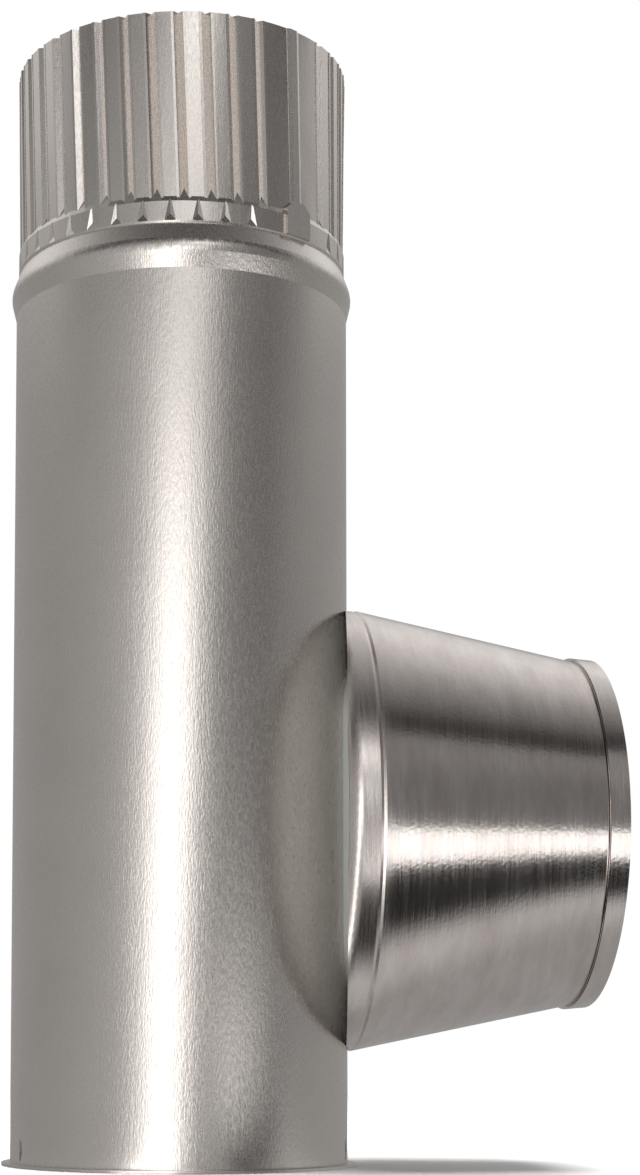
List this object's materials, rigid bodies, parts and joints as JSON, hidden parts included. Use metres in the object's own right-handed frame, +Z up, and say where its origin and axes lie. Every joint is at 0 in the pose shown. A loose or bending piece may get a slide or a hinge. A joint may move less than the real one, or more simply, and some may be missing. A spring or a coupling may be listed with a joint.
{
  "type": "dryer vent offset",
  "caption": "Thin sheet-metal dryer vent offset: an upright round duct tube with a beaded, crimped end, a closed flanged foot and a tapered side collar with a hemmed mouth.",
  "frame": {"origin": "on the tube's axis at the underside of the flange it stands on", "axes": "+Z up the tube's axis towards the crimped end, +X along the side collar's axis out of its mouth"},
  "size_m": [0.1837, 0.134, 0.3334],
  "materials": {
    "tube_sheet": "mill finish, satin, grain running up the tube",
    "cap_sheet": "mill finish, satin",
    "plate_sheet": "mill finish, satin",
    "collar_sheet": "spun, half bright, grain running round the collar"
  },
  "bodies": {
    "root": {"duct_tube": "tube_sheet", "end_cap": "cap_sheet", "back_plate": "plate_sheet", "tapered_collar": "collar_sheet"}
  },
  "joints": []
}
